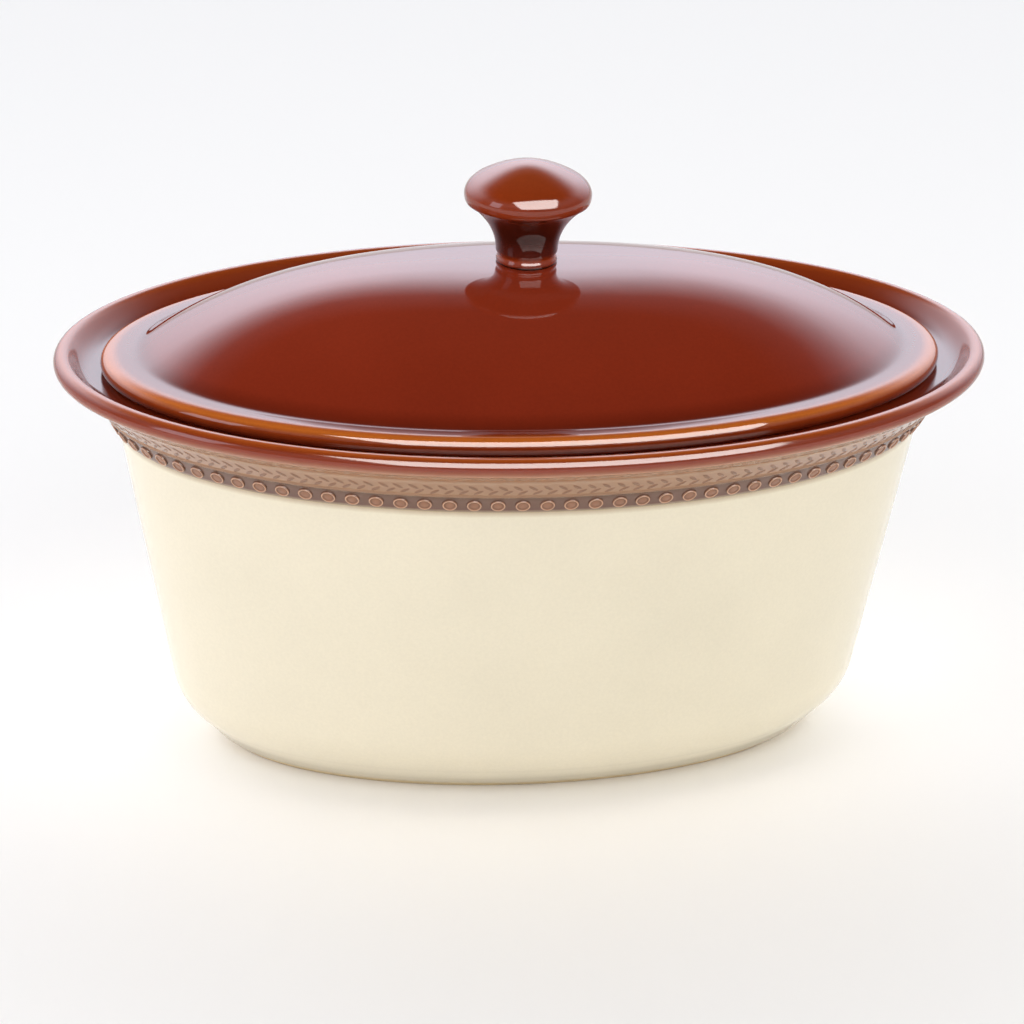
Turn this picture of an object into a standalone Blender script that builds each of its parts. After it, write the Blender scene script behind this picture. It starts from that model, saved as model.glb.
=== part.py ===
"""Oval covered casserole in glazed stoneware: the dish, its domed lid and the lid's turned knob.

Metres, +Z up. The origin is on the table, under the middle of the dish. The long axis is X.
Each of the three pieces is turned about Z from one outline and then squeezed in Y into an oval.
The lid and the knob lift off together along Z.
"""

import math

import bmesh
import bpy
from mathutils import Vector

# Whole object
RIM_HALF_LENGTH = 0.165
RIM_TOP = 0.1502
GAP = 0.0003

# The ovals: at every level outside the dome the half width is the half length less one of these.
FOOT_DIFFERENCE = 0.0548
RIM_DIFFERENCE = 0.0572
LID_DIFFERENCE = 0.0598

# Dish, outside: points are (half length, height)
FOOT_HALF_LENGTH = 0.1065
FOOT_HEIGHT = 0.0025
FOOT_WIDTH = 0.006
FOOT_FLARE = 0.0008
BELLY_START = (0.1103, 0.0034)
CORNER_RADIUS = 0.028
CORNER_START = -44.0
CORNER_TOP = (0.1259, 0.0265)
DRAFT = math.radians(10.4)
BAND_BOTTOM = (0.1431, 0.1232)
BAND_TOP = (0.1488, 0.1304)
COVE_BOTTOM = (0.1534, 0.1364)
ROLL_RADIUS = 0.0033
ROLL_START = -58.0
ROLL_END = 122.0

# Dish, inside
WALL = 0.0065
FLOOR_TOP = 0.0088
INNER_CORNER_RADIUS = 0.024
SEAT_HEIGHT = 0.1431
SEAT_HALF_LENGTH = 0.152
MOUTH_HALF_LENGTH = 0.1378
MOUTH_ROUNDING = 0.002

# Lid
LID_HALF_LENGTH = 0.1488
LID_UNDERSIDE = SEAT_HEIGHT + GAP
LID_EDGE_TOP = 0.1498
LID_EDGE_ROUNDING = 0.0027
DOME_HALF_LENGTH = 0.136
DOME_HALF_WIDTH = 0.080
DOME_FOOT = 0.1500
DOME_APEX = 0.1805
DOME_FALL_POWER = 2.1
DOME_LENGTH_POWER = 0.69
HOLLOW_FALL_POWER = 2.5
COVE_INSET = 0.0025
COVE_OUTSET = 0.0025
LID_THICKNESS = 0.0055
RING_OUTER_HALF_LENGTH = 0.1355
RING_WIDTH = 0.0045
RING_BOTTOM = 0.1385
HOLLOW_HALF_LENGTH = RING_OUTER_HALF_LENGTH - RING_WIDTH

# Knob
KNOB_BOTTOM = DOME_APEX + GAP
KNOB_TOP = 0.2166
KNOB_FOOT = (0.0107, 0.0010)
KNOB_FOOT_ROUNDING = 0.0006
KNOB_NECK = (0.0109, 0.0040)
KNOB_UNDER_CAP = (0.0214, 0.0215)
KNOB_CAP_EDGE = (0.0222, 0.0246)

# How finely the round shapes are cut
OVAL_STEPS = 64
KNOB_STEPS = 36
DOME_STEPS = 12
MERGE_DISTANCE = 0.00001
SHARP_ANGLE = math.radians(40.0)

BROWN_GLAZE = (0.205, 0.027, 0.011)
CREAM_GLAZE = (0.85, 0.76, 0.57)


def arc(centre, radius, start, end, steps):
    """Points of an arc in the XZ plane, from one angle to another in degrees, both ends included."""
    points = []
    for step in range(steps + 1):
        angle = math.radians(start + (end - start) * step / steps)
        points.append((centre[0] + radius * math.cos(angle), centre[1] + radius * math.sin(angle)))
    return points


def curve(start, start_pull, end_pull, end, steps):
    """Points of a Bezier curve in the XZ plane, without its first point."""
    points = []
    for step in range(1, steps + 1):
        t = step / steps
        s = 1.0 - t
        weights = (s**3, 3 * s * s * t, 3 * s * t * t, t**3)
        corners = (start, start_pull, end_pull, end)
        points.append(tuple(sum(w * c[i] for w, c in zip(weights, corners)) for i in (0, 1)))
    return points


def dish_outside():
    """From the middle of the underside out over the foot ring, up the wall and under the rim."""
    tilt = math.degrees(DRAFT)
    centre = (
        CORNER_TOP[0] - CORNER_RADIUS * math.cos(DRAFT),
        CORNER_TOP[1] + CORNER_RADIUS * math.sin(DRAFT),
    )
    outline = [
        (0.0, FOOT_HEIGHT),
        (FOOT_HALF_LENGTH - 1.5 * FOOT_WIDTH, FOOT_HEIGHT),
        (FOOT_HALF_LENGTH - FOOT_WIDTH, 0.0),
        (FOOT_HALF_LENGTH, 0.0),
        (FOOT_HALF_LENGTH + FOOT_FLARE, FOOT_HEIGHT),
        BELLY_START,
    ]
    outline += arc(centre, CORNER_RADIUS, CORNER_START, -tilt, 6)
    outline += [BAND_BOTTOM, BAND_TOP, COVE_BOTTOM]
    return outline


def rim_roll():
    """The rolled edge, from under the flare round the outside to the inner side of its crest."""
    centre = (RIM_HALF_LENGTH - ROLL_RADIUS, RIM_TOP - ROLL_RADIUS)
    return arc(centre, ROLL_RADIUS, ROLL_START, ROLL_END, 9)


def dish_inside():
    """From the roll's crest down the inner cove to the lid's seat, then down the wall to the floor."""
    crest = rim_roll()[-1]
    seat = (SEAT_HALF_LENGTH, SEAT_HEIGHT)
    pull = 0.4 * (crest[0] - seat[0])
    outline = curve(crest, (crest[0] - pull, crest[1] - pull), (seat[0] + pull, seat[1]), seat, 5)
    lip = (MOUTH_HALF_LENGTH + MOUTH_ROUNDING, SEAT_HEIGHT - MOUTH_ROUNDING)
    outline += arc(lip, MOUTH_ROUNDING, 90.0, 180.0, 3)
    top = (BAND_BOTTOM[0] - WALL, BAND_BOTTOM[1])
    corner_height = FLOOR_TOP + INNER_CORNER_RADIUS
    corner_top = top[0] - (top[1] - corner_height) * math.tan(DRAFT)
    centre = (corner_top - INNER_CORNER_RADIUS * math.cos(DRAFT), corner_height)
    outline.append(top)
    outline += arc(centre, INNER_CORNER_RADIUS, -math.degrees(DRAFT), -90.0, 7)
    outline.append((0.0, FLOOR_TOP))
    return outline


def dome(reach, foot, apex, fall_power):
    """A full dome from the axis to its foot, by even shares of its half width."""
    points = []
    for step in range(DOME_STEPS + 1):
        share = step / DOME_STEPS
        points.append((reach * share**DOME_LENGTH_POWER, apex - (apex - foot) * share**fall_power))
    return points


def lid_top():
    """From the top of the dome down through a hollow cove and out over the flange's rounded edge."""
    whole = dome(DOME_HALF_LENGTH, DOME_FOOT, DOME_APEX, DOME_FALL_POWER)
    outline = [point for point in whole if point[0] < DOME_HALF_LENGTH - COVE_INSET]
    before, last = outline[-2:]
    fall = (last[1] - before[1]) / (last[0] - before[0])
    flange = (DOME_HALF_LENGTH + COVE_OUTSET, (DOME_FOOT + LID_EDGE_TOP) / 2)
    pull = 0.4 * (flange[0] - last[0])
    dome_side = (last[0] + pull, last[1] + pull * fall)
    outline += curve(last, dome_side, (flange[0] - pull, flange[1]), flange, 4)
    edge = LID_HALF_LENGTH - LID_EDGE_ROUNDING
    outline += arc((edge, LID_EDGE_TOP - LID_EDGE_ROUNDING), LID_EDGE_ROUNDING, 90.0, 0.0, 4)
    return outline


def lid_bottom():
    """From the flange's edge in under it, round the locating ring and up inside the dome."""
    edge = LID_HALF_LENGTH - LID_EDGE_ROUNDING
    outline = arc((edge, LID_UNDERSIDE + LID_EDGE_ROUNDING), LID_EDGE_ROUNDING, 0.0, -90.0, 4)
    corner = RING_WIDTH / 4
    outline.append((RING_OUTER_HALF_LENGTH + corner, LID_UNDERSIDE))
    outline.append((RING_OUTER_HALF_LENGTH, LID_UNDERSIDE - corner))
    middle = RING_OUTER_HALF_LENGTH - RING_WIDTH / 2
    outline += arc((middle, RING_BOTTOM + RING_WIDTH / 2), RING_WIDTH / 2, 0.0, -180.0, 4)
    top = DOME_APEX - LID_THICKNESS
    outline += reversed(dome(HOLLOW_HALF_LENGTH, LID_UNDERSIDE, top, HOLLOW_FALL_POWER))
    return outline


def knob_outline():
    """From the middle of the underside out over the foot, up the neck and over the cap."""

    def above_lid(point):
        return point[0], KNOB_BOTTOM + point[1]

    foot, neck, under, edge = map(above_lid, (KNOB_FOOT, KNOB_NECK, KNOB_UNDER_CAP, KNOB_CAP_EDGE))
    outline = [(0.0, KNOB_BOTTOM), (foot[0] - KNOB_FOOT_ROUNDING, KNOB_BOTTOM), foot, neck]
    neck_side = (neck[0], neck[1] + 0.4 * (under[1] - neck[1]))
    outline += curve(neck, neck_side, (under[0] - 0.0064, under[1] - 0.0045), under, 8)
    outline += curve(under, (edge[0], under[1] + 0.0008), (edge[0], edge[1] - 0.0008), edge, 3)
    tip = (0.0, KNOB_TOP)
    outline += curve(edge, (edge[0], edge[1] + 0.0043), (0.5 * edge[0], tip[1] - 0.0024), tip, 8)
    return outline


def dish_ratio(half_length, height, rim_difference):
    """How wide the dish's oval is for its length: the difference grows from the foot to the rim."""
    difference = FOOT_DIFFERENCE + (rim_difference - FOOT_DIFFERENCE) * height / RIM_TOP
    return 1.0 - difference / max(half_length, FOOT_HALF_LENGTH - FOOT_WIDTH)


def dish_outside_ratio(point):
    return dish_ratio(*point, RIM_DIFFERENCE)


def dish_inside_ratio(point):
    """Inside, the seat follows the lid's oval and the cove above it runs out to the rim's."""
    above_seat = max(0.0, (point[1] - SEAT_HEIGHT) / (RIM_TOP - SEAT_HEIGHT))
    return dish_ratio(*point, LID_DIFFERENCE + (RIM_DIFFERENCE - LID_DIFFERENCE) * above_seat)


def dome_ratio(half_length, reach, half_width):
    """The dome's level ovals grow slimmer towards its top, which is a long, soft crest."""
    if half_length == 0.0:
        return 1.0
    share = (half_length / reach) ** (1.0 / DOME_LENGTH_POWER)
    return half_width * share / half_length


def lid_top_ratio(point):
    """Within the dome by its own law, and on the flange from the dome's foot to the lid's edge."""
    if point[0] < DOME_HALF_LENGTH:
        return dome_ratio(point[0], DOME_HALF_LENGTH, DOME_HALF_WIDTH)
    outward = (point[0] - DOME_HALF_LENGTH) / (LID_HALF_LENGTH - DOME_HALF_LENGTH)
    at_foot = DOME_HALF_LENGTH - DOME_HALF_WIDTH
    return 1.0 - (at_foot + (LID_DIFFERENCE - at_foot) * outward) / point[0]


def lid_bottom_ratio(point):
    """Under the flange like the lid's edge, and inside the ring by the dome's law."""
    if point[0] < HOLLOW_HALF_LENGTH:
        return dome_ratio(point[0], HOLLOW_HALF_LENGTH, HOLLOW_HALF_LENGTH - LID_DIFFERENCE)
    return 1.0 - LID_DIFFERENCE / point[0]


def round_ratio(point):
    return 1.0


def with_ratio(outline, ratio):
    """Adds to each outline point its oval's width over its length."""
    return [(*point, ratio(point)) for point in outline]


def glaze(name, colour, roughness):
    """A fired glaze: a non-metal with a glassy surface."""
    material = bpy.data.materials.new(name)
    material.use_nodes = True
    shader = material.node_tree.nodes["Principled BSDF"]
    shader.inputs["Base Color"].default_value = (*colour, 1.0)
    shader.inputs["Roughness"].default_value = roughness
    shader.inputs["Metallic"].default_value = 0.0
    material.diffuse_color = (*colour, 1.0)
    return material


def turned(name, outline, steps, material):
    """A closed body turned about Z from an outline on the axis at both ends, then squeezed in Y."""
    shape = bmesh.new()
    width_over_length = shape.verts.layers.float.new("width_over_length")
    chain = []
    for x, z, ratio in outline:
        chain.append(shape.verts.new((x, 0.0, z)))
        chain[-1][width_over_length] = ratio
    edges = [shape.edges.new(pair) for pair in zip(chain, chain[1:])]
    bmesh.ops.spin(
        shape,
        geom=chain + edges,
        cent=Vector((0.0, 0.0, 0.0)),
        axis=Vector((0.0, 0.0, 1.0)),
        angle=2 * math.pi,
        steps=steps,
    )
    bmesh.ops.remove_doubles(shape, verts=shape.verts, dist=MERGE_DISTANCE)
    for vertex in shape.verts:
        vertex.co.y *= vertex[width_over_length]
    bmesh.ops.recalc_face_normals(shape, faces=shape.faces)
    mesh = bpy.data.meshes.new(name)
    shape.to_mesh(mesh)
    shape.free()
    mesh.materials.append(material)
    mesh.shade_smooth()
    mesh.set_sharp_from_angle(angle=SHARP_ANGLE)
    body = bpy.data.objects.new(name, mesh)
    bpy.context.scene.collection.objects.link(body)
    return body


def build():
    """Clears the scene and makes the three pieces, the knob riding on the lid."""
    for old in list(bpy.data.objects):
        bpy.data.objects.remove(old)
    cream = glaze("cream_glaze", CREAM_GLAZE, 0.18)
    brown = glaze("brown_glaze", BROWN_GLAZE, 0.08)
    outside = with_ratio(dish_outside() + rim_roll(), dish_outside_ratio)
    inside = with_ratio(dish_inside(), dish_inside_ratio)
    turned("dish", outside + inside, OVAL_STEPS, cream)
    above = with_ratio(lid_top(), lid_top_ratio)
    below = with_ratio(lid_bottom(), lid_bottom_ratio)
    lid = turned("lid", above + below, OVAL_STEPS, brown)
    knob = turned("knob", with_ratio(knob_outline(), round_ratio), KNOB_STEPS, brown)
    knob.parent = lid


build()
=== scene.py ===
# %% [markdown]
# # An oval covered casserole in glazed stoneware
# The real dish is three pieces of fired clay: a deep oval dish, a domed lid and a turned knob
# that is stuck to the lid with its own glaze. The clay is cast in a plaster mould, so its relief
# is soft, and it is dipped twice: all over in cream, then rim and lid in a red-brown that turns
# amber where it runs thin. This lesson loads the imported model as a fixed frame, builds a finer
# shape for each piece in its place, and spends most of its care on the glaze.

import math

import bpy
from mathutils import Matrix, Vector


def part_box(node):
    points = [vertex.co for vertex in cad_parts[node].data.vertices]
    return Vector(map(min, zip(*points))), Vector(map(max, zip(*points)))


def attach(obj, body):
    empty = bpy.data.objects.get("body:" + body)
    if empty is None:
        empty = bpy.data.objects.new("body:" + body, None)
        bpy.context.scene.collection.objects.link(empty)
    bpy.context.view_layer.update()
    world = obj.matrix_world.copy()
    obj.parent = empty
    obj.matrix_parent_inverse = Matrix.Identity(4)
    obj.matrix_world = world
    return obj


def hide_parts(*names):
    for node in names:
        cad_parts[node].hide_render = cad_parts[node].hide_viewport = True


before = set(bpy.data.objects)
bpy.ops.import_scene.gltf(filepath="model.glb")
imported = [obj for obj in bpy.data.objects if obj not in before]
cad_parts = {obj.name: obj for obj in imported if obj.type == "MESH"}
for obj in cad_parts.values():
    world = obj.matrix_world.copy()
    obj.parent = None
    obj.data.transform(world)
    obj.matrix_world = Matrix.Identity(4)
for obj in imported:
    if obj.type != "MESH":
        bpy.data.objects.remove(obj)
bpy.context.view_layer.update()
dish_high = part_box("dish")[1]
lid_low, lid_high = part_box("lid")
knob_low, knob_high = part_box("knob")

# %% [markdown]
# ## Helpers for modelling
# Every piece here is a stack of rings: an oval or a circle that is extruded and resized again and
# again, as one would by hand with E and S. A lathe tool such as Spin makes only round pieces, and
# these ovals change their proportions on the way up, so each ring gets its own length and width.
# The distance along the outline is kept on every vertex, because the glaze changes along it.

# %% Outlines made of arcs and curves
MM = 0.001


def arc(centre, radius, start, end, steps):
    """Points of an arc, from one angle to another in degrees, both ends included."""
    turn = [math.radians(start + (end - start) * step / steps) for step in range(steps + 1)]
    return [(centre[0] + radius * math.cos(a), centre[1] + radius * math.sin(a)) for a in turn]


def curve(start, start_pull, end_pull, end, steps):
    """Points of a Bezier curve without its first point."""
    points = []
    for step in range(1, steps + 1):
        t = step / steps
        weights = ((1 - t) ** 3, 3 * (1 - t) ** 2 * t, 3 * (1 - t) * t**2, t**3)
        corners = (start, start_pull, end_pull, end)
        points.append(tuple(sum(w * c[i] for w, c in zip(weights, corners)) for i in (0, 1)))
    return points


def line(start, end, steps):
    """Points of a straight run without its first point."""
    return curve(start, start, end, end, steps) if steps > 1 else [end]


def lengths_along(outline):
    """The distance from the outline's first point to each of its points, in millimetres."""
    total, result = 0.0, [0.0]
    for before, after in zip(outline, outline[1:]):
        total += math.dist(before, after) / MM
        result.append(total)
    return result


# %% Rings that become a closed body
OVAL_SEGMENTS = 288
SHARP_FROM = math.radians(50)


def deselect_all():
    """Leaves nothing selected, so that the next operator acts only on what is added next."""
    bpy.ops.object.select_all(action="DESELECT")


def stack_rings(name, rings, segments):
    """A closed smooth body through rings of (half length, half width, height)."""
    deselect_all()
    length, width, height = rings[0]
    bpy.ops.mesh.primitive_circle_add(vertices=segments, radius=length, location=(0, 0, height))
    piece = bpy.context.object
    piece.name = piece.data.name = name
    bpy.ops.object.mode_set(mode="EDIT")
    bpy.ops.mesh.select_all(action="SELECT")
    bpy.ops.transform.resize(value=(1, width / length, 1), center_override=(0, 0, height))
    for before, after in zip(rings, rings[1:]):
        rise = {"value": (0, 0, after[2] - before[2])}
        bpy.ops.mesh.extrude_region_move(TRANSFORM_OT_translate=rise)
        grow = (after[0] / before[0], after[1] / before[1], 1)
        bpy.ops.transform.resize(value=grow, center_override=(0, 0, after[2]))
    bpy.ops.mesh.select_all(action="SELECT")
    bpy.ops.mesh.fill_holes(sides=0)
    bpy.ops.mesh.normals_make_consistent(inside=False)
    bpy.ops.object.mode_set(mode="OBJECT")
    bpy.ops.object.transform_apply(location=True, rotation=True, scale=True)
    bpy.ops.object.shade_smooth_by_angle(angle=SHARP_FROM)
    return piece


def keep_along(piece, attribute, values):
    """Writes one value per ring onto the ring's vertices, for the materials to read."""
    per_ring = len(piece.data.vertices) // len(values)
    layer = piece.data.attributes.new(attribute, "FLOAT", "POINT")
    layer.data.foreach_set("value", [value for value in values for _ in range(per_ring)])


# %% [markdown]
# ## The dish
# The outline runs from the middle of the underside over the foot, up the wall, over the bead
# band, the raised line, the chevron zone and the cove to the rolled rim, and then down the inner
# cove, the lid's seat and the inner wall to the floor. A subdivision surface on a coarse cage
# would pull in the tight roll and the thin raised line, so the rings are laid close instead.

# %% The dish's outline
RIM_LENGTH = dish_high.x
RIM_TOP = dish_high.z
RIM_DIFFERENCE = dish_high.x - dish_high.y
LID_DIFFERENCE = lid_high.x - lid_high.y
FOOT_DIFFERENCE = 0.0548
FLAT_RATIO_INSIDE = 0.1005
DRAFT = 10.4

foot = [(0.004, 0.0025), (0.05, 0.0025), (0.0965, 0.0025)]
foot += curve(foot[-1], (0.0985, 0.0025), (0.0985, 0.0), (0.101, 0.0), 6)
foot += [(0.1056, 0.0)]
foot += arc((0.1058, 0.0007), 0.0007, -80, 0, 4)
foot += [(0.1069, 0.0020)]

CORNER_RADIUS = 0.028
corner_top = (0.1259, 0.0265)
corner_centre = (
    corner_top[0] - CORNER_RADIUS * math.cos(math.radians(DRAFT)),
    corner_top[1] + CORNER_RADIUS * math.sin(math.radians(DRAFT)),
)
belly = curve(foot[-1], (0.1075, 0.0027), (0.1088, 0.0026), (0.1105, 0.0034), 4)
belly += arc(corner_centre, CORNER_RADIUS, -47, -DRAFT, 18)

BAND_FOOT = (0.1430, 0.1228)
BAND_HEAD = (0.1474, 0.1298)
wall = line(belly[-1], BAND_FOOT, 30)
band_edge = [(0.1433, 0.1229), (0.1437, 0.1232), (0.1439, 0.1236)]
bead_band = line(band_edge[-1], BAND_HEAD, 6)
raised_line = [(0.1476, 0.1299), (0.1480, 0.1300), (0.1483, 0.1303), (0.1484, 0.1307), (0.1483, 0.1311)]

ROLL_RADIUS = 0.0033
ROLL_START = -52
roll_centre = (RIM_LENGTH - ROLL_RADIUS, RIM_TOP - ROLL_RADIUS)
roll = arc(roll_centre, ROLL_RADIUS, ROLL_START, 122, 24)
chevron_zone = line(raised_line[-1], (0.1534, 0.1370), 8)
cove = curve(chevron_zone[-1], (0.1560, 0.1399), (0.1616, 0.1427), roll[0], 10)

SEAT = (0.152, 0.1431)
MOUTH = 0.1378
LIP = 0.002
inner_cove = curve(roll[-1], (0.1577, 0.1474), (0.1564, 0.1434), SEAT, 16)
seat = line(SEAT, (MOUTH + LIP, SEAT[1]), 4) + arc((MOUTH + LIP, SEAT[1] - LIP), LIP, 96, 180, 8)
WALL_THICKNESS = 0.0065
INNER_RADIUS = 0.024
FLOOR_TOP = 0.0088
inner_top = (BAND_FOOT[0] - WALL_THICKNESS, BAND_FOOT[1])
inner_height = FLOOR_TOP + INNER_RADIUS
inner_foot = inner_top[0] - (inner_top[1] - inner_height) * math.tan(math.radians(DRAFT))
inner_centre = (inner_foot - INNER_RADIUS * math.cos(math.radians(DRAFT)), inner_height)
inner_corner = arc(inner_centre, INNER_RADIUS, -DRAFT, -90, 16)
inner_wall = line(seat[-1], inner_top, 4) + line(inner_top, inner_corner[0], 20)
floor_inside = line(inner_corner[-1], (0.004, FLOOR_TOP), 10)

dish_sections = {
    "foot": foot,
    "belly": belly,
    "wall": wall,
    "band_edge": band_edge,
    "bead_band": bead_band,
    "raised_line": raised_line,
    "chevron_zone": chevron_zone,
    "cove": cove,
    "roll": roll[1:],
    "inner_cove": inner_cove,
    "seat": seat,
    "inner_wall": inner_wall,
    "inner_corner": inner_corner[1:],
    "floor": floor_inside,
}
dish_outline = [point for section in dish_sections.values() for point in section]
dish_along = lengths_along(dish_outline)
section_end = {}
count = 0
for section, points in dish_sections.items():
    count += len(points)
    section_end[section] = dish_along[count - 1]
print("the outline's sections end at, mm:", {k: round(v, 1) for k, v in section_end.items()})


# %% The dish's rings
def oval(half_length, height, difference):
    """A ring whose width is its length less a difference, and keeps its shape near the middle."""
    ratio = 1 - difference / max(half_length, FLAT_RATIO_INSIDE)
    return half_length, half_length * ratio, height


def dish_difference(height, inside):
    """How much less wide than long the dish is at a height: more at the rim than at the foot."""
    top = RIM_DIFFERENCE
    if inside:
        above_seat = max(0.0, (height - SEAT[1]) / (RIM_TOP - SEAT[1]))
        top = LID_DIFFERENCE + (RIM_DIFFERENCE - LID_DIFFERENCE) * above_seat
    return FOOT_DIFFERENCE + (top - FOOT_DIFFERENCE) * height / RIM_TOP


dish_rings = []
for (x, z), along in zip(dish_outline, dish_along):
    dish_rings.append(oval(x, z, dish_difference(z, along > section_end["roll"])))
dish = stack_rings("dish_body", dish_rings, OVAL_SEGMENTS)
keep_along(dish, "along", dish_along)
print("dish:", len(dish.data.polygons), "faces")

# %% [markdown]
# ## Beads and chevrons under the rim
# The mould presses a row of small ringed beads and a plait of short strokes into the flare. Each
# could be drawn in the dish's own surface, but that would need a mesh hundreds of times denser all
# round. So one bead and one stroke are modelled, copied round the oval at equal steps, turned to
# the wall's slope, sunk a little into it and joined. The copies overlap the wall, as relief does.

# %% Places round the oval
BEADS = 92
CHEVRONS = 159


def place_on_band(share, point, slope_to):
    """A frame on the flare: X runs round it, Y up its slope and Z out of it."""
    low = oval(*point, dish_difference(point[1], False))
    high = oval(*slope_to, dish_difference(slope_to[1], False))
    turn = turn_at(share, low[0], low[1])
    here = Vector((low[0] * math.cos(turn), low[1] * math.sin(turn), low[2]))
    above = Vector((high[0] * math.cos(turn), high[1] * math.sin(turn), high[2]))
    round_it = Vector((-low[0] * math.sin(turn), low[1] * math.cos(turn), 0)).normalized()
    up = (above - here).normalized()
    up = (up - up.dot(round_it) * round_it).normalized()
    out = round_it.cross(up)
    return Matrix.Translation(here) @ Matrix((round_it, up, out)).transposed().to_4x4()


def turn_at(share, length, width, steps=2880):
    """The oval's own angle at a share of the way round it, so that copies are evenly spaced."""
    if (length, width) not in walks:
        total, walk = 0.0, [0.0]
        for step in range(steps):
            angle = 2 * math.pi * (step + 0.5) / steps
            total += math.hypot(length * math.sin(angle), width * math.cos(angle))
            walk.append(total)
        walks[(length, width)] = [walked / total for walked in walk]
    walk = walks[(length, width)]
    wanted = share % 1.0
    step = next(index for index, walked in enumerate(walk) if walked >= wanted)
    return 2 * math.pi * step / steps


walks = {}


def copies_joined(name, model, places):
    """Copies a model to each place, each copy with its own mesh, and joins them into one piece."""
    deselect_all()
    for place in places:
        one = bpy.data.objects.new(name, model.data.copy())
        bpy.context.collection.objects.link(one)
        one.matrix_world = place
        one.select_set(True)
        bpy.context.view_layer.objects.active = one
    bpy.ops.object.join()
    piece = bpy.context.object
    piece.name = piece.data.name = name
    bpy.ops.object.transform_apply(location=True, rotation=True, scale=True)
    return piece


def remove(model):
    """Deletes the model that was copied."""
    bpy.data.objects.remove(model)


# %% One bead, and the band of them
bead_rings = [
    (2.66, 2.66, -0.45),
    (2.62, 2.62, 0.05),
    (2.52, 2.52, 0.36),
    (2.36, 2.36, 0.56),
    (2.20, 2.20, 0.60),
    (2.03, 2.03, 0.50),
    (1.88, 1.88, 0.28),
    (1.65, 1.65, 0.20),
    (1.15, 1.15, 0.34),
    (0.50, 0.50, 0.42),
]
BEAD_HIGHEST = 0.60
BEAD_SEGMENTS = 20
bead = stack_rings("bead", [tuple(side * MM for side in ring) for ring in bead_rings], BEAD_SEGMENTS)
keep_along(bead, "relief", [max(0.0, ring[2]) / BEAD_HIGHEST for ring in bead_rings])
UP_THE_BAND = 0.52
bead_line = [BAND_FOOT[i] + UP_THE_BAND * (BAND_HEAD[i] - BAND_FOOT[i]) for i in (0, 1)]
bead_line[0] += 0.3 * MM
bead_places = [place_on_band((i + 0.5) / BEADS, bead_line, BAND_HEAD) for i in range(BEADS)]
beads = copies_joined("bead_relief", bead, bead_places)
remove(bead)
print("beads:", BEADS, "with", len(beads.data.polygons), "faces")

# %% One stroke, and the plait of them
stroke_rings = [(2.25, 0.72, -0.25), (2.20, 0.70, 0.02), (1.90, 0.52, 0.12), (0.90, 0.20, 0.16)]
STROKE_SEGMENTS = 12
stroke = stack_rings("stroke", [tuple(side * MM for side in ring) for ring in stroke_rings], STROKE_SEGMENTS)
keep_along(stroke, "relief", [0.0] * len(stroke_rings))
zone_foot, zone_head = raised_line[-1], chevron_zone[-1]
STROKE_LEAN = math.radians(45)
FIRST_STROKE = 0.25
ROWS = ((0.70, -STROKE_LEAN, 0.0), (0.29, STROKE_LEAN, 0.35))
stroke_places = []
for height_share, lean, offset in ROWS:
    row = [zone_foot[i] + height_share * (zone_head[i] - zone_foot[i]) for i in (0, 1)]
    for i in range(CHEVRONS):
        place = place_on_band((i + FIRST_STROKE + offset) / CHEVRONS, row, zone_head)
        stroke_places.append(place @ Matrix.Rotation(lean, 4, "Z"))
strokes = copies_joined("chevron_relief", stroke, stroke_places)
remove(stroke)
print("strokes:", len(stroke_places), "with", len(strokes.data.polygons), "faces")

# %% [markdown]
# ## The lid
# The lid is a full dome with a long soft crest, on a flange that is broad at the two ends and
# narrow at the front and back. Its level ovals grow slimmer towards the top: the half width shrinks
# evenly, the half length with a power of the same share, and the height falls with another power.
# A small hollow cove joins dome and flange, the flange's edge is rounded, and a ring under it drops
# inside the dish's mouth to keep the lid from sliding.

# %% The lid's outline
LID_LENGTH = lid_high.x
DOME_TOP = lid_high.z
RING_BOTTOM = lid_low.z
CLEARANCE = 0.0003
LID_UNDERSIDE = SEAT[1] + CLEARANCE
DOME_LENGTH = 0.136
DOME_WIDTH = 0.080
DOME_FOOT = 0.1500
DOME_FALL = 2.1
DOME_STRETCH = 0.69
HOLLOW_FALL = 2.5
EDGE_TOP = 0.1498
EDGE_ROUNDING = 0.0027
EDGE_FALL_LENGTH = 0.0056
EASE = 0.45
LID_THICKNESS = 0.0055
RING_LENGTH = 0.1355
RING_WIDTH = 0.0045
HOLLOW_LENGTH = RING_LENGTH - RING_WIDTH


def dome(reach, foot_height, apex, fall, start, end, steps):
    """Points of a dome along its long side, from one share of its half width to another."""
    shares = [start + (end - start) * step / steps for step in range(steps + 1)]
    return [(reach * s**DOME_STRETCH, apex - (apex - foot_height) * s**fall) for s in shares]


dome_top = dome(DOME_LENGTH, DOME_FOOT, DOME_TOP, DOME_FALL, 0.015, 0.962, 56)
slope = (dome_top[-1][1] - dome_top[-2][1]) / (dome_top[-1][0] - dome_top[-2][0])
flange_start = (0.1398, 0.14990)
pull = EASE * (flange_start[0] - dome_top[-1][0])
cove_start = (dome_top[-1][0] + pull, dome_top[-1][1] + pull * slope)
lid_cove = curve(dome_top[-1], cove_start, (flange_start[0] - pull, flange_start[1]), flange_start, 8)
edge_x = LID_LENGTH - EDGE_ROUNDING
flange = line(flange_start, (LID_LENGTH - EDGE_FALL_LENGTH, EDGE_TOP), 4)
edge_side = (LID_LENGTH, LID_UNDERSIDE + EDGE_ROUNDING)
upper_pull = (LID_LENGTH - EASE * EDGE_FALL_LENGTH, EDGE_TOP)
lid_edge = curve(flange[-1], upper_pull, (LID_LENGTH, EDGE_TOP - 0.0014), edge_side, 14)
lid_edge += arc((edge_x, LID_UNDERSIDE + EDGE_ROUNDING), EDGE_ROUNDING, -10, -90, 8)
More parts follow.
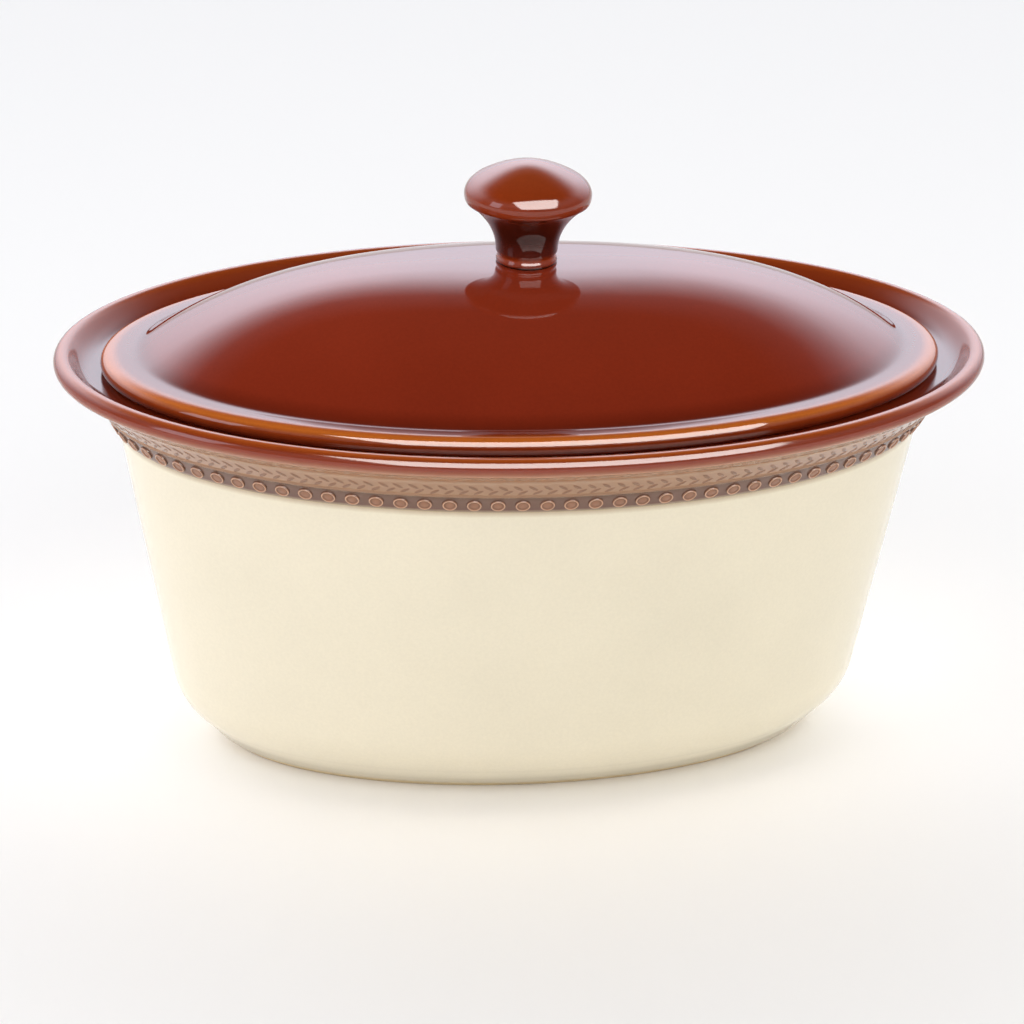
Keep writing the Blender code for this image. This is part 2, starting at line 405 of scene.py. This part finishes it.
ring_outside = line(lid_edge[-1], (RING_LENGTH + 0.001, LID_UNDERSIDE), 4)
ring_corner = (RING_LENGTH, LID_UNDERSIDE)
ring_outside += curve(ring_outside[-1], ring_corner, ring_corner, (RING_LENGTH, 0.1424), 4)
ring_round = arc((RING_LENGTH - RING_WIDTH / 2, RING_BOTTOM + RING_WIDTH / 2), RING_WIDTH / 2, 0, -180, 12)
hollow = dome(HOLLOW_LENGTH, LID_UNDERSIDE, DOME_TOP - LID_THICKNESS, HOLLOW_FALL, 0.995, 0.02, 40)
lid_top = dome_top + lid_cove + flange
lid_outline = lid_top + lid_edge + ring_outside + ring_round + hollow
lid_along = lengths_along(lid_outline)
flange_end = lid_along[len(lid_top) - 1]
edge_end = lid_along[len(lid_top + lid_edge) - 1]
print("the flange ends at", round(flange_end, 1), "mm and the edge at", round(edge_end, 1), "mm")

# %% The lid's rings
def width_in_dome(half_length, reach, half_width):
    """The half width of the dome's oval that has this half length."""
    return half_width * (half_length / reach) ** (1 / DOME_STRETCH)


lid_rings = []
for index, (x, z) in enumerate(lid_outline):
    above = index < len(lid_top + lid_edge)
    outward = (x - DOME_LENGTH) / (LID_LENGTH - DOME_LENGTH)
    if above and outward < 0:
        width = width_in_dome(x, DOME_LENGTH, DOME_WIDTH)
    elif above:
        width = x - (1 - outward) * (DOME_LENGTH - DOME_WIDTH) - outward * LID_DIFFERENCE
    elif x < HOLLOW_LENGTH:
        width = width_in_dome(x, HOLLOW_LENGTH, HOLLOW_LENGTH - LID_DIFFERENCE)
    else:
        width = x - LID_DIFFERENCE
    lid_rings.append((x, width, z))
lid = stack_rings("lid_body", lid_rings, OVAL_SEGMENTS)
keep_along(lid, "along", lid_along)
print("lid:", len(lid.data.polygons), "faces")

# %% [markdown]
# ## The knob
# The knob is thrown on its own and stuck on: a foot bead sits on the lid, the neck narrows and
# flares out under a wide cap that swells like a mushroom. It is truly round, so its rings are
# circles. Under the cap the outline curves round into the neck.

# %% The knob's outline
KNOB_FOOT = knob_low.z
KNOB_TOP = knob_high.z
CAP = knob_high.x


def above_lid(*points):
    """Turns (radius, height) in millimetres above the knob's foot into metres above the table."""
    return [(radius * MM, KNOB_FOOT + height * MM) for radius, height in points]


knob_foot = above_lid((1.0, -0.9), (10.0, -0.9), (10.35, -0.6), (10.6, 0.0), (10.75, 0.5), (10.7, 1.0))
knob_foot += above_lid((10.5, 1.45), (10.3, 1.8), (10.2, 2.15), (10.25, 2.55), (10.45, 2.95))
neck = above_lid((10.9, 4.2), (10.9, 10.7), (15.0, 17.0), (21.4, 21.3))
knob_neck = curve(knob_foot[-1], above_lid((10.65, 3.3))[0], above_lid((10.85, 3.7))[0], neck[0], 4)
knob_neck += curve(*neck, 22)
cap_edge = (CAP, KNOB_FOOT + 0.0241)
under_side = above_lid((22.0, 21.75), (22.2, 22.8))
cap_lower = curve(knob_neck[-1], under_side[0], under_side[1], cap_edge, 8)
shoulder = above_lid((22.2, 26.6), (20.3, 28.9), (16.9, 30.7))
crown = above_lid((13.2, 32.7), (6.8, 35.5), (1.2, 35.75))
knob_cap = curve(cap_edge, *shoulder, 14) + curve(shoulder[-1], *crown, 16) + [(0.0003, KNOB_TOP)]
knob_outline = knob_foot + knob_neck + cap_lower + knob_cap
KNOB_SEGMENTS = 128
knob = stack_rings("knob_body", [(x, x, z) for x, z in knob_outline], KNOB_SEGMENTS)
knob_along = lengths_along(knob_outline)
keep_along(knob, "along", knob_along)
foot_end = knob_along[len(knob_foot) - 1]
neck_end = knob_along[len(knob_foot + knob_neck) - 1]
cap_end = knob_along[-1]
print("knob:", len(knob.data.polygons), "faces; its outline is", round(cap_end, 1), "mm long")

# %% [markdown]
# ## Glaze
# A glaze is a skin of glass, about 0.3 mm thick, melted onto the clay. It has no metal in it, an
# index of refraction near 1.5, and a surface so smooth that it mirrors the room sharply. Iron
# colours it: thick glaze is a deep red-brown, and where it runs off an edge it is thin, lets the
# clay through and turns amber. So each colour is chosen by the distance along the outline.


# %% Colours and nodes
def linear(hex_colour):
    """An sRGB hex colour as linear RGBA."""
    channels = [int(hex_colour[i : i + 2], 16) / 255 for i in (1, 3, 5)]
    return (*(c / 12.92 if c <= 0.04045 else ((c + 0.055) / 1.055) ** 2.4 for c in channels), 1.0)


def add(tree, kind, settings=None, links=None):
    """Adds one node, sets its properties, inputs and ramp stops, and links its inputs."""
    made = tree.nodes.new("ShaderNode" + kind)
    for key, value in (settings or {}).items():
        if key == "stops":
            ramp = made.color_ramp.elements
            while len(ramp) < len(value):
                ramp.new(1.0)
            for stop, (position, colour) in zip(ramp, value):
                stop.position = position
                stop.color = colour
        elif isinstance(key, int) or key in made.inputs:
            made.inputs[key].default_value = value
        else:
            setattr(made, key, value)
    for key, source in (links or {}).items():
        tree.links.new(source, made.inputs[key])
    return made


def new_material(name):
    """An empty material with a shader joined to its output; returns the material, tree and shader."""
    material = bpy.data.materials.new(name)
    material.use_nodes = True
    tree = material.node_tree
    return material, tree, tree.nodes["Principled BSDF"]


# %% [markdown]
# ### One recipe for every glaze
# Three things make glaze look like glaze and not like paint. Its colour drifts over centimetres,
# where the dip was thicker. It is freckled on the scale of a millimetre, where iron grains melted.
# And its skin is not quite flat, so that reflections waver. The recipe takes the stops of a colour
# ramp in millimetres along the outline and adds the drift, the freckles and the skin.

# %% The glaze recipe
GLAZE_IOR = 1.52
RAGGED_EDGE = {"Scale": 180.0, "Detail": 2.0}
DRIFT_NOISE = {"Scale": 22.0, "Detail": 3.0, "Roughness": 0.55}
FRECKLE_NOISE = {"Scale": 900.0, "Detail": 3.0, "Roughness": 0.6}
SKIN_NOISE = {"Scale": 60.0, "Detail": 1.0}
SKIN_BUMP = {"Strength": 0.12, "Distance": 0.0004}


def glaze(name, attribute, length, stops, roughness, drift, waver):
    """A glaze whose colour follows a distance in mm, with drift, freckles and a soft uneven skin."""
    material, tree, shader = new_material(name)
    place = add(tree, "TexCoord").outputs["Object"]
    along = add(tree, "Attribute", {"attribute_name": attribute}).outputs["Fac"]
    ragged = add(tree, "TexNoise", RAGGED_EDGE, {"Vector": place})
    shift = add(tree, "MapRange", {"To Min": -waver, "To Max": waver}, {"Value": ragged.outputs["Fac"]})
    moved = add(tree, "Math", {"operation": "ADD"}, {0: along, 1: shift.outputs[0]})
    share = add(tree, "Math", {"operation": "DIVIDE", 1: length}, {0: moved.outputs[0]})
    places = [(mm / length, linear(colour)) for mm, colour in stops]
    ramp = add(tree, "ValToRGB", {"stops": places}, {"Fac": share.outputs[0]})
    cloud = add(tree, "TexNoise", DRIFT_NOISE, {"Vector": place})
    grain = add(tree, "TexNoise", FRECKLE_NOISE, {"Vector": place})
    spread = {"From Min": 0.3, "From Max": 0.7, "To Min": 1 - drift, "To Max": 1 + drift}
    cloudy = add(tree, "MapRange", spread, {"Value": cloud.outputs["Fac"]})
    freckled = add(tree, "MapRange", spread, {"Value": grain.outputs["Fac"]})
    both = add(tree, "Math", {"operation": "MULTIPLY"}, {0: cloudy.outputs[0], 1: freckled.outputs[0]})
    shaded = {0: ramp.outputs["Color"], "Scale": both.outputs[0]}
    tinted = add(tree, "VectorMath", {"operation": "SCALE"}, shaded)
    tree.links.new(tinted.outputs[0], shader.inputs["Base Color"])
    skin = add(tree, "TexNoise", SKIN_NOISE, {"Vector": place})
    bump = add(tree, "Bump", SKIN_BUMP, {"Height": skin.outputs["Fac"]})
    tree.links.new(bump.outputs["Normal"], shader.inputs["Normal"])
    shader.inputs["Roughness"].default_value = roughness
    shader.inputs["IOR"].default_value = GLAZE_IOR
    return material


# %% The colours of the dish from foot to floor
CREAM = "#EDE4CC"
BROWN = "#7C2A12"
AMBER = "#B4571F"
TAN = "#A87F62"
end = section_end
roll_start = end["cove"]
glaze_line = roll_start + ROLL_RADIUS / MM * math.radians(-3 - ROLL_START)
crest = roll_start + ROLL_RADIUS / MM * math.radians(80 - ROLL_START)
dish_stops = [
    (end["foot"] - 6.0, "#C9AE87"),
    (end["foot"], "#DDCBA6"),
    (end["foot"] + 6.0, CREAM),
    (end["wall"] - 2.0, CREAM),
    # Just below the band the cream darkens into a dark line along the crease: glaze pooled there, and
    # painted shade under the band's step.
    (end["wall"] - 0.3, "#CDB99A"),
    (end["band_edge"] - 0.4, "#5A4335"),
    (end["band_edge"] + 0.8, "#735244"),
    (end["bead_band"] - 0.8, "#78584A"),
    (end["bead_band"] - 0.1, "#684A3A"),
    # The raised line is coloured far paler than its glaze: a painted highlight along the ridge.
    (end["raised_line"] - 1.5, "#F6CFA8"),
    (end["raised_line"] - 0.3, "#F2C69C"),
    (end["raised_line"] + 0.2, "#9C7458"),
    (end["raised_line"] + 2.0, TAN),
    (end["chevron_zone"], TAN),
    (end["cove"] - 3.0, "#AC7A59"),
    (glaze_line - 0.8, "#A56A50"),
    (glaze_line - 0.1, "#8C3A22"),
    (glaze_line + 0.8, BROWN),
    (crest - 2.2, "#83300F"),
    (crest, AMBER),
    (crest + 2.4, "#8E3A15"),
    (end["inner_cove"] - 3.0, BROWN),
    (end["seat"], "#70240E"),
    (end["seat"] + 1.6, "#A0714E"),
    (end["seat"] + 3.0, CREAM),
]
cream_and_brown = glaze("cream_and_brown_glaze", "along", dish_along[-1], dish_stops, 0.10, 0.02, 0.25)
print("the brown glaze starts", round(glaze_line, 1), "mm along the outline")

# %% Relief: the glaze breaks light over crests and lies dark in hollows
relief_stops = [
    (0.0, "#5E4436"),
    (0.2, "#6A4A38"),
    (0.5, "#93654A"),
    (0.72, "#9A6B50"),
    (0.86, "#C29475"),
    (1.0, "#CFA386"),
]
bead_glaze = glaze("breaking_glaze", "relief", 1.0, relief_stops, 0.16, 0.04, 0.03)
# The strokes stand a little proud but are coloured like incised grooves: a darker glaze that is partly glaze
# pooled in them and partly painted shade of a groove.
pool_and_shade_stops = [(0.0, "#8A6148"), (1.0, "#94694F")]
pooled_glaze_and_shade = glaze("pooled_glaze_and_shade", "relief", 1.0, pool_and_shade_stops, 0.14, 0.04, 0.02)

# %% The colours of the lid and the knob
lid_stops = [
    (0.0, "#822B15"),
    (60.0, "#8A2F18"),
    (flange_end - 14.0, "#852C17"),
    (flange_end - 7.0, "#6B210F"),
    (flange_end - 1.0, "#7A2A0F"),
    (flange_end + 1.4, "#B0561C"),
    (flange_end + 4.2, "#C86C28"),
    (flange_end + 6.4, "#8A3814"),
    (edge_end - 2.4, "#4A170A"),
    (edge_end, "#6A2410"),
    (lid_along[-1], "#7A2A13"),
]
lid_glaze = glaze("red_brown_glaze", "along", lid_along[-1], lid_stops, 0.05, 0.045, 0.3)
knob_stops = [
    (foot_end - 3.3, "#240A06"),
    (foot_end - 2.6, "#7A2A12"),
    (foot_end - 0.8, "#8A3413"),
    # The neck and the flare under the cap are darker than the cap: thick glaze, and painted shade with a
    # painted reflection of the dark lid.
    (foot_end + 1.5, "#4A150A"),
    (foot_end + 8.0, "#32100A"),
    (neck_end - 5.0, "#3A120A"),
    (neck_end - 1.0, "#5A1C0C"),
    (neck_end + 0.8, "#7E2F12"),
    (neck_end + 2.2, "#842F10"),
    (neck_end + 9.0, "#8C3513"),
    (cap_end, "#94401A"),
]
knob_glaze = glaze("knob_glaze", "along", cap_end, knob_stops, 0.09, 0.04, 0.25)

# %% [markdown]
# ### Bare clay
# The ring that the dish stands on is wiped clean before firing, or the melted glaze would weld
# the dish to the kiln shelf. What shows there is the stoneware itself: buff, matt and sandy.

# %% The bare foot
bare_clay, clay_tree, clay_shader = new_material("bare_stoneware")
clay_place = add(clay_tree, "TexCoord").outputs["Object"]
sand = add(clay_tree, "TexNoise", {"Scale": 1400.0, "Detail": 4.0}, {"Vector": clay_place})
clay_stops = [(0.3, linear("#9B8262")), (0.5, linear("#B99F7C")), (0.7, linear("#CDB694"))]
clay_colour = add(clay_tree, "ValToRGB", {"stops": clay_stops}, {"Fac": sand.outputs["Fac"]})
clay_tree.links.new(clay_colour.outputs["Color"], clay_shader.inputs["Base Color"])
sandy = add(clay_tree, "Bump", {"Strength": 0.5, "Distance": 0.0003}, {"Height": sand.outputs["Fac"]})
clay_tree.links.new(sandy.outputs["Normal"], clay_shader.inputs["Normal"])
clay_shader.inputs["Roughness"].default_value = 0.8

# %% Giving each piece its glaze
FOOT_LOW = 0.0004
FACES_DOWN = -0.5
for piece, materials in (
    (dish, (cream_and_brown, bare_clay)),
    (beads, (bead_glaze,)),
    (strokes, (pooled_glaze_and_shade,)),
    (lid, (lid_glaze,)),
    (knob, (knob_glaze,)),
):
    piece.data.materials.clear()
    for material in materials:
        piece.data.materials.append(material)
bare = 0
for face in dish.data.polygons:
    if face.center.z < FOOT_LOW and face.normal.z < FACES_DOWN:
        face.material_index = 1
        bare += 1
print("bare clay faces:", bare)

# %% [markdown]
# ## Riding on the frame
# The dish with its relief stays on the dish's body, and the lid and knob ride on the lid's body,
# so they lift together. Each piece says which plain solid of the frame it stands for.

# %% Bodies, replaced nodes and slots
for piece, body, node, slot in (
    (dish, "dish", "dish", "cream_glaze"),
    (beads, "dish", None, "cream_glaze"),
    (strokes, "dish", None, "cream_glaze"),
    (lid, "lid", "lid", "brown_glaze"),
    (knob, "lid", "knob", "brown_glaze"),
):
    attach(piece, body)
    if node:
        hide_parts(node)

# %% [markdown]
# ## The studio
# A white table runs back to a bright backdrop, which the glossy lid mirrors as a pale sheen on
# its far side. The room above is dark, so the near side of the lid shows its own colour. What is
# mirrored and what lights the matt table are set apart, as a studio does with cards: one large
# soft light over the camera's shoulder lights but isn't mirrored, and a second one, a little
# nearer so that neither hides the other, only gives the long highlights on the rim and the bright
# window on the knob. A dimmer panel on the left fills in.

# %% The floor
deselect_all()
TABLE_SIDE = 12.0
bpy.ops.mesh.primitive_plane_add(size=TABLE_SIDE, location=(0, 0, 0))
table = bpy.context.object
table.name = "table_top"
table_finish, table_tree, table_shader = new_material("pale_table")
table_shader.inputs["Base Color"].default_value = linear("#FAF9F7")
table_shader.inputs["Roughness"].default_value = 0.9
table_shader.inputs["Specular IOR Level"].default_value = 0.0
table.data.materials.append(table_finish)

# %% The backdrop, as a world that is bright low down behind the dish
def greys(*stops):
    """Ramp stops from (position, brightness) pairs."""
    return [(position, (grey, grey, grey, 1.0)) for position, grey in stops]


world = bpy.data.worlds.new("studio")
bpy.context.scene.world = world
world.use_nodes = True
sky = world.node_tree
direction = add(sky, "TexCoord").outputs["Generated"]
axes = add(sky, "SeparateXYZ", None, {0: direction})
BACKDROP = 4.3
COOL_WHITE = (0.84, 0.88, 1.0)
low_bright = greys((0, 0.36), (0.17, 0.55), (0.34, 0.80), (0.48, 1))
low_bright += greys((0.57, 0.9), (0.64, 0.6), (0.74, 0.12), (0.84, 0.015))
height_light = add(sky, "ValToRGB", {"stops": low_bright}, {"Fac": axes.outputs["Z"]})
wide = {"From Min": -0.4, "From Max": 0.3, "To Min": 0.28, "To Max": 1.0}
behind = add(sky, "MapRange", wide, {"Value": axes.outputs["Y"]})
lit = {0: height_light.outputs["Color"], "Scale": behind.outputs[0]}
bright = add(sky, "VectorMath", {"operation": "SCALE"}, lit)
narrow = {"From Min": 0.1, "From Max": 0.8, "To Min": 0.12, "To Max": 1.0}
card = add(sky, "MapRange", narrow, {"Value": axes.outputs["Y"]})
carded = {0: height_light.outputs["Color"], "Scale": card.outputs[0]}
shown = add(sky, "VectorMath", {"operation": "SCALE"}, carded)
tint = add(sky, "VectorMath", {"operation": "MULTIPLY", 1: COOL_WHITE}, {0: shown.outputs[0]})
mirrored = sky.nodes["Background"]
mirrored.inputs["Strength"].default_value = BACKDROP
sky.links.new(tint.outputs[0], mirrored.inputs["Color"])
MATT_SHARE = 0.86
lighting = add(sky, "Background", {"Strength": MATT_SHARE * BACKDROP}, {"Color": bright.outputs[0]})
matt_ray = add(sky, "LightPath").outputs["Is Diffuse Ray"]
seen = add(sky, "MixShader", None, {0: matt_ray, 1: mirrored.outputs[0], 2: lighting.outputs[0]})
sky.links.new(seen.outputs[0], sky.nodes["World Output"].inputs["Surface"])


# %% The soft lights
def soft_light(name, place, aim, size, power, colour):
    """A rectangular area light that looks at a point."""
    lamp = bpy.data.lights.new(name, "AREA")
    lamp.shape = "RECTANGLE"
    lamp.size, lamp.size_y = size
    lamp.energy = power
    lamp.color = linear(colour)[:3]
    light = bpy.data.objects.new(name, lamp)
    bpy.context.collection.objects.link(light)
    light.location = place
    light.rotation_euler = (Vector(aim) - Vector(place)).to_track_quat("-Z", "Y").to_euler()
    return light


MIDDLE = (0, 0, 0.1)
WINDOW_PLACE, WINDOW_SIZE = (0.295, -1.387, 1.21), (2.2, 0.9)
GLINT_PLACE, GLINT_SIZE = (0.265, -1.22, 1.30), (2.2, 1.6)
PANEL_PLACE, PANEL_SIZE = (-1.5, -0.6, 0.7), (0.6, 0.9)
WINDOW_WATTS, GLINT_WATTS, PANEL_WATTS = 8.5, 150.0, 5.0
window = soft_light("window", WINDOW_PLACE, MIDDLE, WINDOW_SIZE, WINDOW_WATTS, "#FFFBF4")
window.visible_glossy = False
glint = soft_light("window_glint", GLINT_PLACE, MIDDLE, GLINT_SIZE, GLINT_WATTS, "#FFFAF6")
glint.visible_diffuse = False
soft_light("left_panel", PANEL_PLACE, MIDDLE, PANEL_SIZE, PANEL_WATTS, "#F2F0FF")
print("lights, W:", WINDOW_WATTS, GLINT_WATTS, PANEL_WATTS)

# %% [markdown]
# ## The camera
# A long lens from a little above and just left of the dish's middle, turned by a degree or so,
# as a hand-held product picture is.

# %% Placing the camera
ELEVATION = math.radians(24.26)
AZIMUTH = math.radians(-8.23)
ROLL = math.radians(1.43)
DISTANCE = 1.20015
SIDEWAYS, LIFT = -0.00091, 0.07635
LENS, SENSOR = 113.3, 36.0
turn = Matrix.Rotation(AZIMUTH, 4, "Z")
tip = Matrix.Rotation(math.pi / 2 - ELEVATION, 4, "X")
roll_over = Matrix.Rotation(ROLL, 4, "Z")
camera = bpy.data.objects.new("camera", bpy.data.cameras.new("camera"))
bpy.context.collection.objects.link(camera)
camera.matrix_world = turn @ tip @ roll_over @ Matrix.Translation((SIDEWAYS, LIFT, DISTANCE))
camera.data.lens = LENS
camera.data.sensor_width = SENSOR
bpy.context.scene.camera = camera
bpy.context.scene.view_settings.view_transform = "Standard"
